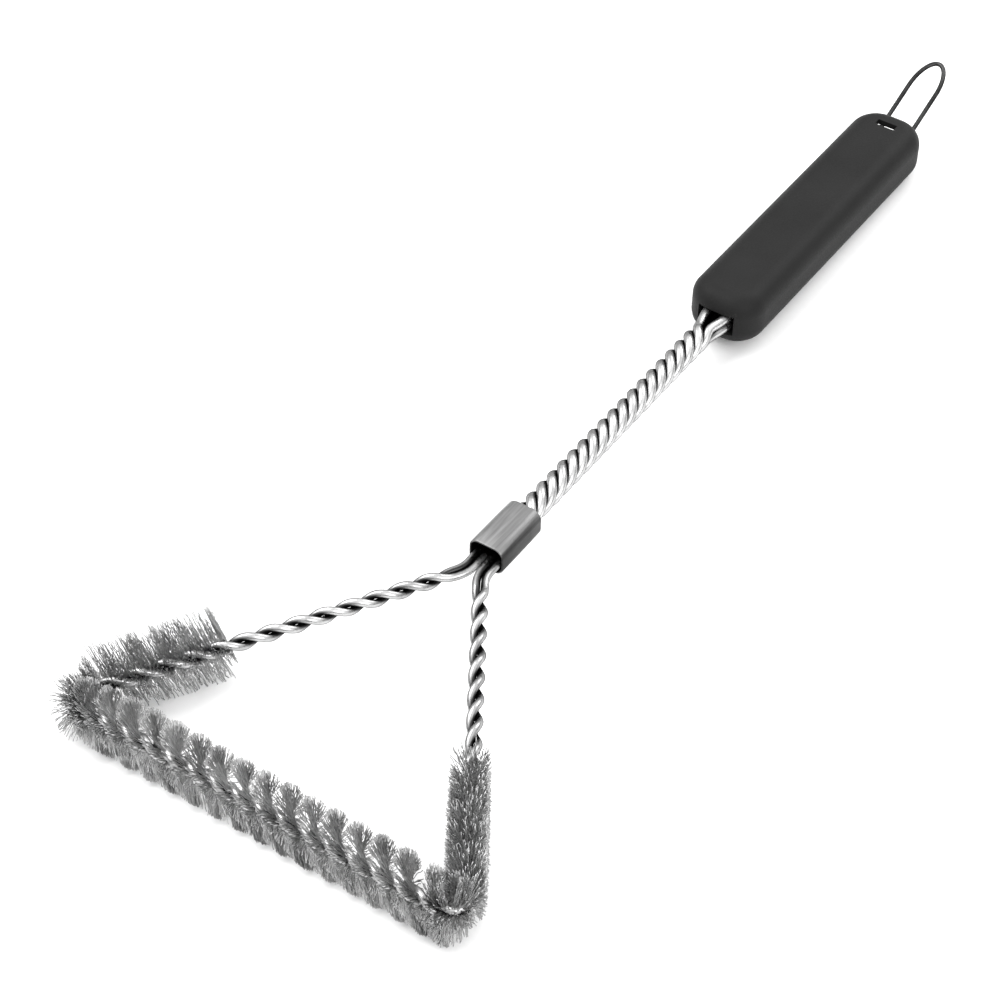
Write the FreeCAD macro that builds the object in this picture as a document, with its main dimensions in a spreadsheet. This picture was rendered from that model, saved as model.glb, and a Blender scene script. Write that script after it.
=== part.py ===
import FreeCAD, Part
import math
import os
import Sketcher

# A grill cleaning brush with a three-sided head. Two steel wires, twisted together, run round
# the triangle and hold the bristles; they go into a flat ferrule, a stem of four twisted
# strands joins the ferrule to a moulded handle, and a wire hanging loop pivots in the handle's end.
# Millimetres. +Y runs from the head to the loop, +Z is up, X is across. The brush lies on a
# table at Z = 0, and the origin is at the middle of its footprint.

DIMENSIONS = [  # alias, value, meaning
    ("overall_length", 500.8, "front bristle tips to the tip of the hanging loop"),
    ("head_width", 170.8, "between the corners where the head's centre lines meet"),
    ("core_wire", 3.1, "diameter of each wire of the twisted core"),
    ("core_gap", 0.1, "gap between the two core wires"),
    ("corner_bend", 4.5, "radius of the core's bend at the two front corners"),
    ("neck_bend", 12.0, "radius of the core's bend into the ferrule"),
    ("neck_straight", 4.0, "untwisted length before the neck bend"),
    ("neck_inside", 18.0, "length of an arm's wires after the neck bend"),
    ("neck_setback", 8.0, "ferrule's mouth to where the arms' lines turn in"),
    ("neck_drop", 1.5, "core's plane below the shaft's axis, at the ferrule's mouth"),
    ("neck_offset", 3.25, "half the distance between the two arms inside the ferrule"),
    ("front_half_turns", 16, "half turns of twist along the front"),
    ("arm_quarter_turns", 27, "quarter turns of twist along each arm"),
    ("bristle_half_width", 7.2, "half width of the brushed section, in the head's plane"),
    ("bristle_half_height", 16.0, "half height of the brushed section"),
    ("bristle_rounding", 5.0, "rounding of the brushed section's long edges"),
    ("corner_rounding", 8.0, "rounding of the brushed outline at the two front corners"),
    ("bristle_gap", 0.05, "gap between one length of bristles and the next"),
    ("bristle_bore", 3.3, "radius kept clear for the core"),
    ("arm_bristle_end", 61.0, "corner to the upper end of the bristles, along an arm"),
    ("mouth_position", 144.1, "front bristle tips to the ferrule's mouth"),
    ("mouth_height", 19.5, "height of the shaft's axis at the ferrule's mouth"),
    ("ferrule_length", 25.9, "ferrule"),
    ("ferrule_width", 15.0, "ferrule"),
    ("ferrule_height", 12.4, "ferrule"),
    ("ferrule_rounding", 4.0, "rounding of the ferrule's long edges"),
    ("ferrule_wall", 0.9, "sheet the ferrule is formed from"),
    ("strand_diameter", 3.95, "each strand of the stem"),
    ("strand_radius", 3.25, "stem axis to a strand's centre line"),
    ("strand_pitch", 28.4, "length of one full turn of a strand"),
    ("strand_start", 16.5, "ferrule's mouth to the strands' first ends"),
    ("strand_length", 138.5, "twisted length of the stem"),
    ("splay_length", 16.0, "length over which the strands part at the handle"),
    ("splay_reach", 5.6, "stem axis to a parted strand's end"),
    ("handle_start", 307.6, "front bristle tips to the handle"),
    ("handle_length", 155.5, "handle"),
    ("handle_width", 32.2, "handle"),
    ("handle_height", 23.0, "handle"),
    ("handle_corner", 13.0, "rounding of the handle's ends seen from above"),
    ("handle_edge", 8.0, "rounding of the handle's top and bottom edges"),
    ("handle_end_height", 11.3, "height of the shaft's axis at the handle's end"),
    ("cavity_width", 16.4, "opening where the strands enter the handle"),
    ("cavity_height", 9.4, "opening where the strands enter the handle"),
    ("cavity_depth", 14.0, "opening where the strands enter the handle"),
    ("slot_half_width", 8.7, "slot for the hanging loop"),
    ("slot_floor", 5.5, "slot's floor below the handle's axis"),
    ("slot_roof", 9.0, "slot's roof above the handle's axis"),
    ("slot_depth", 14.5, "slot's depth into the handle's end"),
    ("window_width", 9.0, "opening in the handle's top, down into the slot"),
    ("window_near", 10.2, "handle's end to the window's nearer side"),
    ("window_far", 13.8, "handle's end to the window's farther side"),
    ("window_depth", 4.0, "handle's top to the bottom of the window's cut"),
    ("pivot_inset", 5.5, "handle's end to the loop's pivot"),
    ("loop_wire", 2.0, "diameter of the loop's wire"),
    ("loop_half_width", 6.6, "pivot's middle to a leg's centre line"),
    ("loop_leg", 29.1, "pivot to where the loop starts to narrow"),
    ("loop_reach", 45.6, "pivot to the loop's outer tip"),
    ("loop_foot_bend", 2.0, "radius of the bend from a leg to its pin"),
    ("loop_pin_end", 11.0, "pivot's middle to a pin's end"),
    ("loop_clearance", 0.06, "radial clearance of a pin in its hole"),
    ("loop_angle", 18.6, "rise of the loop above the level"),
]

doc = FreeCAD.newDocument("grill_brush")
sheet = doc.addObject("Spreadsheet::Sheet", "Dimensions")
for row, (alias, value, meaning) in enumerate(DIMENSIONS, start=1):
    sheet.set("A%d" % row, meaning)
    sheet.set("B%d" % row, str(value))
    sheet.setAlias("B%d" % row, alias)
doc.recompute()
size = {alias: float(sheet.get(alias)) for alias, _, _ in DIMENSIONS}

X_AXIS = FreeCAD.Vector(1, 0, 0)
Y_AXIS = FreeCAD.Vector(0, 1, 0)
Z_AXIS = FreeCAD.Vector(0, 0, 1)
parts = []


def vector(x, y, z):
    return FreeCAD.Vector(x, y, z)


def place(base=None, rotation=None):
    return FreeCAD.Placement(base or vector(0, 0, 0), rotation or FreeCAD.Rotation())


def turn(axis, degrees):
    return place(rotation=FreeCAD.Rotation(axis, degrees))


def shift(x, y, z):
    return place(base=vector(x, y, z))


def bind(obj, **expressions):
    for name, expression in expressions.items():
        obj.setExpression(name, expression)


def cell(alias):
    return "Dimensions." + alias


def keep(obj, label):
    obj.Label = label
    parts.append(obj)
    return obj


# ---- The two straight frames that the brush is made of -------------------------------------
# The head's plane rises from the front edge to the ferrule, and the shaft falls from there to
# the handle's end, so the brush rests on its front bristles and on the handle's end.

front_y = -size["overall_length"] / 2
core_y = front_y + size["bristle_half_width"]
mouth_y = front_y + size["mouth_position"]
end_y = front_y + size["handle_start"] + size["handle_length"]
neck_height = size["mouth_height"] - size["neck_drop"]
head_rise = math.degrees(math.atan2(neck_height - size["bristle_half_height"],
                                    mouth_y - core_y))
shaft_fall = math.degrees(math.atan2(size["mouth_height"] - size["handle_end_height"],
                                     end_y - mouth_y))
slope = math.radians(head_rise)
rounding = size["bristle_rounding"]
core_height = (rounding + (size["bristle_half_height"] - rounding) * math.cos(slope)
               + (size["bristle_half_width"] - rounding) * math.sin(slope))
head_frame = shift(0, core_y, core_height) * turn(X_AXIS, head_rise)
shaft_frame = shift(0, mouth_y, size["mouth_height"]) * turn(X_AXIS, -shaft_fall)

# In the head's own frame, Y = 0 is the front core and the arms meet the neck at neck_y.
half_width = size["head_width"] / 2
neck_y = (mouth_y - core_y) - size["neck_setback"]
arm_across = half_width - size["neck_offset"]
arm_length = math.hypot(arm_across, neck_y)
arm_angle = math.degrees(math.atan2(neck_y, arm_across))
corner_turn = 180 - arm_angle
corner_tangent = size["corner_bend"] / math.tan(math.radians(arm_angle / 2))
neck_turn = 90 - arm_angle
neck_tangent = size["neck_bend"] * math.tan(math.radians(neck_turn / 2))
front_run = 2 * (half_width - corner_tangent)
arm_run = arm_length - corner_tangent - neck_tangent - size["neck_straight"]
core_radius = (size["core_wire"] + size["core_gap"]) / 2

# A corner's bristles end where the front's inner edge meets the arm's.
corner_reach = size["bristle_half_width"] / math.tan(math.radians(arm_angle / 2))
along_arm = FreeCAD.Rotation(Z_AXIS, arm_angle)
corner_side = along_arm.multVec(vector(corner_reach, size["bristle_half_width"], 0))

# Worked-out lengths go into the sheet as formulas' results, so that features can use them.
DERIVED = [
    ("front_run", front_run), ("arm_run", arm_run), ("core_radius", core_radius),
    ("front_pitch", 2 * front_run / size["front_half_turns"]),
    ("arm_pitch", 4 * arm_run / size["arm_quarter_turns"]),
    ("corner_turn", corner_turn), ("neck_turn", neck_turn),
    ("corner_reach", corner_reach), ("corner_side_x", corner_side.x),
    ("corner_side_y", corner_side.y),
]
for row, (alias, value) in enumerate(DERIVED, start=len(DIMENSIONS) + 2):
    sheet.set("A%d" % row, "worked out from the cells above")
    sheet.set("B%d" % row, repr(value))
    sheet.setAlias("B%d" % row, alias)
    size[alias] = value
doc.recompute()


# ---- Twisted wire --------------------------------------------------------------------------

def twisted_wire(name, radius, pitch, length, wire):
    """A right-handed helical wire round its own Z axis, starting on +X at Z = 0."""
    helix = doc.addObject("Part::Helix", name + "_line")
    bind(helix, Radius=cell(radius), Pitch=cell(pitch), Height=cell(length))
    helix.SegmentLength = 1.0
    section = doc.addObject("Part::Circle", name + "_section")
    bind(section, Radius=cell(wire) + " / 2")
    lead = math.degrees(math.atan2(2 * math.pi * size[radius], size[pitch]))
    section.Placement = shift(size[radius], 0, 0) * turn(X_AXIS, -lead)
    sweep = doc.addObject("Part::Sweep", name + "_twist")
    sweep.Sections = [section]
    sweep.Spine = (helix, [])
    sweep.Solid = True
    sweep.Frenet = True
    return sweep


def rod(name, wire, start, end):
    """A straight wire between two points."""
    cylinder = doc.addObject("Part::Cylinder", name)
    bind(cylinder, Radius=cell(wire) + " / 2")
    cylinder.Height = (end - start).Length
    cylinder.Placement = place(start, FreeCAD.Rotation(Z_AXIS, end - start))
    return cylinder


def knuckle(name, wire, centre):
    """A ball that joins two wires meeting at an angle."""
    ball = doc.addObject("Part::Sphere", name)
    bind(ball, Radius=cell(wire) + " / 2 + 0.12")
    ball.Placement = place(centre)
    return ball


def bend(name, wire, radius, angle, placement):
    """Part of a ring, from its own +X axis round towards +Y."""
    ring = doc.addObject("Part::Torus", name)
    bind(ring, Radius2=cell(wire) + " / 2", Angle3=cell(angle))
    ring.Radius1 = radius
    ring.Placement = placement
    return ring


def join(label, pieces, placement):
    fused = doc.addObject("Part::MultiFuse", label)
    fused.Shapes = pieces
    fused.Placement = placement
    return keep(fused, label)


# A run's own frame: Z along the run, X up out of the head's plane, so wire 1 starts on top.
ALONG_X = FreeCAD.Rotation(vector(0, 0, 1), vector(0, -1, 0), vector(1, 0, 0), "ZXY")
UPRIGHT = place(rotation=ALONG_X)

for wire in (1, 2):
    twist = twisted_wire("front_wire_%d" % wire, "core_radius", "front_pitch", "front_run",
                         "core_wire")
    twist.Placement = (head_frame * shift(-front_run / 2, 0, 0) * UPRIGHT
                       * turn(Z_AXIS, 180 * (wire - 1)))
    keep(twist, "front_wire_%d" % wire)

# At a corner the pair runs untwisted, one wire above the other.
for side, sign in (("left", -1), ("right", 1)):
    for wire, height in ((1, core_radius), (2, -core_radius)):
        centre = shift(sign * front_run / 2, size["corner_bend"], height)
        start = -90 if sign > 0 else -90 - corner_turn
        label = "%s_corner_wire_%d" % (side, wire)
        ring = bend(label, "core_wire", size["corner_bend"], "corner_turn",
                    head_frame * centre * turn(Z_AXIS, start))
        keep(ring, label)

# An arm leaves its corner twisted, ends the twist flat in the head's plane, and bends into
# the ferrule. It is built with its corner at the origin and its run along +X.
for side, sign in (("left", -1), ("right", 1)):
    for wire in (1, 2):
        label = "%s_arm_wire_%d" % (side, wire)
        phase = 180 * (wire - 1)
        turned = phase + 90 * size["arm_quarter_turns"]
        offset = -core_radius * math.sin(math.radians(turned))  # sideways, towards +Y
        twist = twisted_wire(label, "core_radius", "arm_pitch", "arm_run", "core_wire")
        twist.Placement = shift(corner_tangent, 0, 0) * UPRIGHT * turn(Z_AXIS, phase)
        twist_end = corner_tangent + arm_run
        straight_end = twist_end + size["neck_straight"]
        # The right arm bends clockwise into the neck, and the left arm the other way.
        ring_centre = vector(straight_end, -sign * size["neck_bend"], 0)
        ring_radius = size["neck_bend"] + sign * offset
        ring_start = 90 - neck_turn if sign > 0 else -90
        ring = bend(label + "_neck", "core_wire", ring_radius, "neck_turn",
                    place(ring_centre) * turn(Z_AXIS, ring_start))
        out_angle = math.radians(-sign * neck_turn)
        radial = vector(-math.sin(out_angle), math.cos(out_angle), 0) * (sign * ring_radius)
        inner_start = ring_centre + radial
        inner_end = inner_start + vector(math.cos(out_angle), math.sin(out_angle), 0) * \
            size["neck_inside"]
        pieces = [
            twist,
            knuckle(label + "_knuckle", "core_wire", vector(twist_end, offset, 0)),
            rod(label + "_straight", "core_wire", vector(twist_end, offset, 0),
                vector(straight_end, offset, 0)),
            ring,
            rod(label + "_inner", "core_wire", inner_start, inner_end),
        ]
        heading = 180 - arm_angle if sign > 0 else arm_angle
        join(label, pieces, head_frame * shift(sign * half_width, 0, 0) * turn(Z_AXIS, heading))

# The stem's four strands, twisted like a rope, part in two pairs just before the handle.
along_shaft = turn(X_AXIS, -90)
strand_turns = size["strand_length"] / size["strand_pitch"]
for strand in range(4):
    label = "stem_strand_%d" % (strand + 1)
    end_angle = 45 + 90 * strand
    twist = twisted_wire(label, "strand_radius", "strand_pitch", "strand_length",
                         "strand_diameter")
    twist.Placement = turn(Z_AXIS, end_angle - 360 * strand_turns)
    across = math.cos(math.radians(end_angle))
    upward = math.sin(math.radians(end_angle))
    start = vector(across, upward, 0) * size["strand_radius"] + Z_AXIS * size["strand_length"]
    end = vector(math.copysign(size["splay_reach"], across), start.y,
                 size["strand_length"] + size["splay_length"])
    pieces = [
        twist,
        knuckle(label + "_knuckle", "strand_diameter", start),
        rod(label + "_splay", "strand_diameter", start, end),
    ]
    join(label, pieces, shaft_frame * shift(0, size["strand_start"], 0) * along_shaft)


# ---- Sketched parts ------------------------------------------------------------------------

def plane(body, role):
    return next(item for item in body.Origin.OriginFeatures if item.Role == role)


def new_sketch(body, name, role, offset=0.0):
    sketch = body.newObject("Sketcher::SketchObject", name)
    sketch.AttachmentSupport = [(plane(body, role), "")]
    sketch.MapMode = "FlatFace"
    sketch.AttachmentOffset = shift(0, 0, offset)
    return sketch


def tie(sketch, kind, first, first_point, second, second_point, value, expression):
    """A driving dimension of the sketch, bound to the sheet."""
    index = sketch.addConstraint(
        Sketcher.Constraint(kind, first, first_point, second, second_point, value))
    sketch.setExpression("Constraints[%d]" % index, expression)


def add_rectangle(sketch, left, right, low, high):
    """A rectangle placed by four distances from the sketch's origin: (value, expression) each."""
    corners = [vector(left[0], low[0], 0), vector(right[0], low[0], 0),
               vector(right[0], high[0], 0), vector(left[0], high[0], 0)]
    first = sketch.GeometryCount
    for i in range(4):
        sketch.addGeometry(Part.LineSegment(corners[i], corners[(i + 1) % 4]), False)
    for i in range(4):
        sketch.addConstraint(
            Sketcher.Constraint("Coincident", first + i, 2, first + (i + 1) % 4, 1))
        kind = "Horizontal" if i % 2 == 0 else "Vertical"
        sketch.addConstraint(Sketcher.Constraint(kind, first + i))
    tie(sketch, "DistanceX", -1, 1, first, 1, left[0], left[1])
    tie(sketch, "DistanceX", -1, 1, first + 2, 1, right[0], right[1])
    tie(sketch, "DistanceY", -1, 1, first, 1, low[0], low[1])
    tie(sketch, "DistanceY", -1, 1, first + 2, 1, high[0], high[1])


def add_rounded_rectangle(sketch, half_width, half_height, radius):
    """A rounded rectangle about the sketch's origin: (value, expression) each."""
    across, up, bend = half_width[0], half_height[0], radius[0]
    slack = bend * (1 - math.sqrt(0.5))
    first = sketch.GeometryCount
    for quarter in range(4):
        spin = FreeCAD.Rotation(Z_AXIS, 90 * quarter)
        reach, side = (across, up) if quarter % 2 == 0 else (up, across)
        edge_end = spin.multVec(vector(reach, side - bend, 0))
        middle = spin.multVec(vector(reach - slack, side - slack, 0))
        arc_end = spin.multVec(vector(reach - bend, side, 0))
        edge_start = spin.multVec(vector(reach, bend - side, 0))
        sketch.addGeometry(Part.LineSegment(edge_start, edge_end), False)
        sketch.addGeometry(Part.Arc(edge_end, middle, arc_end), False)
    for quarter in range(4):
        line = first + 2 * quarter
        arc, following = line + 1, first + (2 * quarter + 2) % 8
        sketch.addConstraint(Sketcher.Constraint("Tangent", line, 2, arc, 1))
        sketch.addConstraint(Sketcher.Constraint("Tangent", arc, 2, following, 1))
        kind = "Vertical" if quarter % 2 == 0 else "Horizontal"
        sketch.addConstraint(Sketcher.Constraint(kind, line))
        index = sketch.addConstraint(Sketcher.Constraint("Radius", arc, bend))
        sketch.setExpression("Constraints[%d]" % index, radius[1])
    tie(sketch, "DistanceX", -1, 1, first, 1, across, half_width[1])
    tie(sketch, "DistanceX", -1, 1, first + 4, 1, -across, "-(%s)" % half_width[1])
    tie(sketch, "DistanceY", -1, 1, first + 2, 1, up, half_height[1])
    tie(sketch, "DistanceY", -1, 1, first + 6, 1, -up, "-(%s)" % half_height[1])


def add_circle(sketch, centre, radius):
    """A circle on the sketch's X axis: centre and radius are (value, expression) each."""
    index = sketch.addGeometry(Part.Circle(vector(centre[0], 0, 0), Z_AXIS, radius[0]), False)
    tie(sketch, "DistanceY", -1, 1, index, 3, 0.0, "0")
    tie(sketch, "DistanceX", -1, 1, index, 3, centre[0], centre[1])
    row = sketch.addConstraint(Sketcher.Constraint("Radius", index, radius[0]))
    sketch.setExpression("Constraints[%d]" % row, radius[1])


def times(alias, factor=1.0):
    """A size from the sheet times a number, as a value and as an expression."""
    return size[alias] * factor, "%s * %g" % (cell(alias), factor)


def plus(first, second):
    return first[0] + second[0], "%s + %s" % (first[1], second[1])


def pad(body, sketch, length, midplane=False):
    feature = body.newObject("PartDesign::Pad", body.Name + "_pad")
    feature.Profile = sketch
    feature.setExpression("Length", length)
    feature.Midplane = midplane
    doc.recompute()
    return feature


def pocket(body, sketch, length, midplane=False, reverse=False):
    before = body.Shape.Volume
    feature = body.newObject("PartDesign::Pocket", body.Name + "_pocket")
    feature.Profile = sketch
    feature.setExpression("Length", length)
    feature.Midplane = midplane
    feature.Reversed = reverse
    doc.recompute()
    if body.Shape.Volume > before - 1:
        raise RuntimeError(body.Name + ": a pocket cut nothing")
    return feature


def round_edges(body, radius, wanted):
    """Fillet every edge of the body that wanted(edge) picks."""
    base = body.Tip
    names = ["Edge%d" % (i + 1) for i, edge in enumerate(base.Shape.Edges) if wanted(edge)]
    feature = body.newObject("PartDesign::Fillet", body.Name + "_rounding")
    feature.Base = (base, names)
    feature.setExpression("Radius", radius)
    doc.recompute()
    return feature


def runs_along(edge, axis):
    ends = edge.Vertexes
    if len(ends) < 2:
        return False
    along = ends[1].Point - ends[0].Point
    return along.Length > 1e-6 and abs(along.normalize().dot(axis)) > 0.999


def level(edge, height):
    """True if every corner of the edge is at this height above or below the body's middle."""
    return all(abs(abs(v.Point.z) - height) < 1e-4 for v in edge.Vertexes)


half_section = [times("bristle_half_width", -1), times("bristle_half_width"),
                times("bristle_half_height", -1), times("bristle_half_height")]


def straight_bristles(label, run, placement):
    """A straight brushed length along its own Z: a rounded block bored for the core."""
    body = doc.addObject("PartDesign::Body", label)
    outline = new_sketch(body, label + "_outline", "XY_Plane")
    add_rectangle(outline, *half_section)
    add_circle(outline, (0.0, "0"), times("bristle_bore"))
    doc.recompute()
    pad(body, outline, run)
    round_edges(body, cell("bristle_rounding"),
                lambda edge: runs_along(edge, Z_AXIS)
                and abs(edge.Vertexes[0].Point.y) > size["bristle_half_height"] - 0.01)
    body.Placement = placement
    return keep(body, label)


# The section's X lies in the head's plane and its Y stands up out of it.
section_frame = place(rotation=FreeCAD.Rotation(vector(0, 1, 0), vector(0, 0, 1),
                                                vector(1, 0, 0), "ZXY"))
block_start = corner_reach + size["bristle_gap"]
straight_bristles("front_bristles",
                  "%s - 2 * (%s + %s)" % tuple(map(cell, ("head_width", "corner_reach",
                                                          "bristle_gap"))),
                  head_frame * shift(block_start - half_width, 0, 0) * section_frame)

for side, sign in (("left", -1), ("right", 1)):
    heading = 180 - arm_angle if sign > 0 else arm_angle
    straight_bristles(side + "_arm_bristles",
                      "%s - %s - %s" % tuple(map(cell, ("arm_bristle_end", "corner_reach",
                                                        "bristle_gap"))),
                      head_frame * shift(sign * half_width, 0, 0) * turn(Z_AXIS, heading)
                      * shift(block_start, 0, 0) * section_frame)


def core_path(sketch, reach):
    """The core round a corner: along +X to the origin's bend, then out along the arm."""
    bend_middle = vector(corner_tangent, size["corner_bend"], 0)
    toward_corner = FreeCAD.Rotation(Z_AXIS, -90 - corner_turn / 2)
    bend_top = bend_middle + toward_corner.multVec(vector(size["corner_bend"], 0, 0))
    sketch.addGeometry([
        Part.LineSegment(vector(reach, 0, 0), vector(corner_tangent, 0, 0)),
        Part.Arc(vector(corner_tangent, 0, 0), bend_top,
                 along_arm.multVec(vector(corner_tangent, 0, 0))),
        Part.LineSegment(along_arm.multVec(vector(corner_tangent, 0, 0)),
                         along_arm.multVec(vector(reach, 0, 0))),
    ], False)


# Round a corner the brushed outline is a kite with its outer point rounded off.
for side, sign in (("left", -1), ("right", 1)):
    label = side + "_corner_bristles"
    body = doc.addObject("PartDesign::Body", label)
    outline = new_sketch(body, label + "_outline", "XY_Plane")
    half = times("bristle_half_width")
    corners = [(times("corner_reach"), half), (times("corner_side_x"), times("corner_side_y")),
               (times("corner_reach", -1), times("bristle_half_width", -1)),
               (times("corner_reach"), times("bristle_half_width", -1))]
    for i in range(4):
        here, there = corners[i], corners[(i + 1) % 4]
        outline.addGeometry(Part.LineSegment(vector(here[0][0], here[1][0], 0),
                                             vector(there[0][0], there[1][0], 0)), False)
    for i in range(4):
        outline.addConstraint(Sketcher.Constraint("Coincident", i, 2, (i + 1) % 4, 1))
        tie(outline, "DistanceX", -1, 1, i, 1, corners[i][0][0], corners[i][0][1])
        tie(outline, "DistanceY", -1, 1, i, 1, corners[i][1][0], corners[i][1][1])
    doc.recompute()
    pad(body, outline, "2 * " + cell("bristle_half_height"), midplane=True)
    round_edges(body, cell("corner_rounding"),
                lambda edge: runs_along(edge, Z_AXIS) and edge.Vertexes[0].Point.x < 0
                and edge.Vertexes[0].Point.y < 0)
    round_edges(body, cell("bristle_rounding"),
                lambda edge: level(edge, size["bristle_half_height"])
                and not any((v.Point - vector(corners[0][0][0], corners[0][1][0], v.Point.z))
                            .Length < 1e-4 for v in edge.Vertexes))
    path = new_sketch(body, label + "_core", "XY_Plane")
    core_path(path, corner_reach + 1)
    section = new_sketch(body, label + "_bore", "YZ_Plane", offset=corner_reach + 1)
    add_circle(section, (0.0, "0"), times("bristle_bore"))
    doc.recompute()
    bore = body.newObject("PartDesign::SubtractivePipe", label + "_channel")
    bore.Profile = section
    bore.Spine = (path, ["Edge1", "Edge2", "Edge3"])
    doc.recompute()
    body.Placement = (head_frame * shift(sign * half_width, 0, 0)
                      * turn(Z_AXIS, 180 - arm_angle if sign > 0 else 0))
    keep(body, label)

# The ferrule is a flat sleeve, its mouth at its own Y = 0.
ferrule = doc.addObject("PartDesign::Body", "ferrule")
outline = new_sketch(ferrule, "ferrule_outline", "XZ_Plane")
wall = times("ferrule_wall", -1)
add_rounded_rectangle(outline, times("ferrule_width", 0.5), times("ferrule_height", 0.5),
                      times("ferrule_rounding"))
add_rounded_rectangle(outline, plus(times("ferrule_width", 0.5), wall),
                      plus(times("ferrule_height", 0.5), wall),
                      plus(times("ferrule_rounding"), wall))
doc.recompute()
sleeve = pad(ferrule, outline, cell("ferrule_length"))
sleeve.Reversed = True
doc.recompute()
ferrule.Placement = shaft_frame
keep(ferrule, "ferrule")

# The handle, its middle at its own origin.
handle = doc.addObject("PartDesign::Body", "handle")
outline = new_sketch(handle, "handle_outline", "XY_Plane")
add_rectangle(outline, times("handle_width", -0.5), times("handle_width", 0.5),
              times("handle_length", -0.5), times("handle_length", 0.5))
doc.recompute()
pad(handle, outline, cell("handle_height"), midplane=True)
round_edges(handle, cell("handle_corner"), lambda edge: runs_along(edge, Z_AXIS))
round_edges(handle, cell("handle_edge"), lambda edge: level(edge, size["handle_height"] / 2))

half_length = size["handle_length"] / 2
cavity = new_sketch(handle, "cavity_outline", "XZ_Plane", offset=half_length)
add_rectangle(cavity, times("cavity_width", -0.5), times("cavity_width", 0.5),
              times("cavity_height", -0.5), times("cavity_height", 0.5))
doc.recompute()
pocket(handle, cavity, cell("cavity_depth"))
slot = new_sketch(handle, "slot_outline", "XZ_Plane", offset=-half_length)
add_rectangle(slot, times("slot_half_width", -1), times("slot_half_width"),
              times("slot_floor", -1), times("slot_roof"))
doc.recompute()
pocket(handle, slot, cell("slot_depth"), reverse=True)
window = new_sketch(handle, "window_outline", "XY_Plane", offset=size["handle_height"] / 2)
handle_end = times("handle_length", 0.5)
add_rectangle(window, times("window_width", -0.5), times("window_width", 0.5),
              plus(handle_end, times("window_far", -1)), plus(handle_end, times("window_near", -1)))
doc.recompute()
pocket(handle, window, cell("window_depth"))
pivot_hole = new_sketch(handle, "pivot_outline", "YZ_Plane")
pivot_y = plus(handle_end, times("pivot_inset", -1))
add_circle(pivot_hole, pivot_y, plus(times("loop_wire", 0.5), times("loop_clearance")))
doc.recompute()
pocket(handle, pivot_hole, "%s * 2 + 0.6" % cell("loop_pin_end"), midplane=True)
handle_middle = size["handle_start"] + half_length - size["mouth_position"]
handle.Placement = shaft_frame * shift(0, handle_middle, 0)
keep(handle, "handle")

# The hanging loop: one wire whose two feet turn outwards into the handle, its pivot along X.
loop = doc.addObject("PartDesign::Body", "hanging_loop")
path = new_sketch(loop, "loop_path", "XY_Plane")
foot = size["loop_foot_bend"]
leg = size["loop_half_width"]
pin = size["loop_pin_end"]
leg_end = size["loop_leg"]
tip = size["loop_reach"] - size["loop_wire"] / 2
bow = Part.Ellipse(vector(0, tip, 0), vector(-leg, leg_end, 0), vector(0, leg_end, 0))
lines = [
    Part.LineSegment(vector(-pin, 0, 0), vector(-leg - foot, 0, 0)),
    Part.Arc(vector(-leg - foot, 0, 0),
             vector(-leg - foot * (1 - math.sqrt(0.5)), foot * (1 - math.sqrt(0.5)), 0),
             vector(-leg, foot, 0)),
    Part.LineSegment(vector(-leg, foot, 0), vector(-leg, leg_end, 0)),
    Part.ArcOfEllipse(bow, -math.pi / 2, math.pi / 2),
    Part.LineSegment(vector(leg, leg_end, 0), vector(leg, foot, 0)),
    Part.Arc(vector(leg, foot, 0),
             vector(leg + foot * (1 - math.sqrt(0.5)), foot * (1 - math.sqrt(0.5)), 0),
             vector(leg + foot, 0, 0)),
    Part.LineSegment(vector(leg + foot, 0, 0), vector(pin, 0, 0)),
]
path.addGeometry(lines, False)
section = new_sketch(loop, "loop_section", "YZ_Plane", offset=-pin)
add_circle(section, (0.0, "0"), times("loop_wire", 0.5))
doc.recompute()
pipe = loop.newObject("PartDesign::AdditivePipe", "loop_pipe")
pipe.Profile = section
pipe.Spine = (path, ["Edge%d" % (i + 1) for i in range(len(lines))])
doc.recompute()
pivot_shift = size["handle_start"] + size["handle_length"] - size["pivot_inset"] \
    - size["mouth_position"]
loop_place = shaft_frame * shift(0, pivot_shift, 0) * turn(X_AXIS, shaft_fall + size["loop_angle"])
loop.Placement = loop_place
keep(loop, "hanging_loop")

# ---- Check and write -----------------------------------------------------------------------

doc.recompute()
for obj in doc.Objects:
    faults = [state for state in obj.State if state in ("Invalid", "Error")]
    if faults:
        raise RuntimeError("%s is %s" % (obj.Name, faults))
os.makedirs("parts", exist_ok=True)
for obj in parts:
    shape = obj.Shape
    if shape.isNull() or not shape.isValid() or len(shape.Solids) != 1:
        raise RuntimeError("%s has %d solids" % (obj.Label, len(shape.Solids)))
    shape.exportStep("parts/%s.step" % obj.Label)
    box = shape.BoundBox
    print("%-24s %9.1f mm3  x %.1f %.1f  y %.1f %.1f  z %.1f %.1f" % (
        obj.Label, shape.Volume, box.XMin, box.XMax, box.YMin, box.YMax, box.ZMin, box.ZMax))
pivot = loop_place.Base
print("loop pivot (mm): %.3f %.3f %.3f" % (pivot.x, pivot.y, pivot.z))
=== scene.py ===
import math

import bpy
import numpy as np
from mathutils import Matrix, Vector

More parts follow.
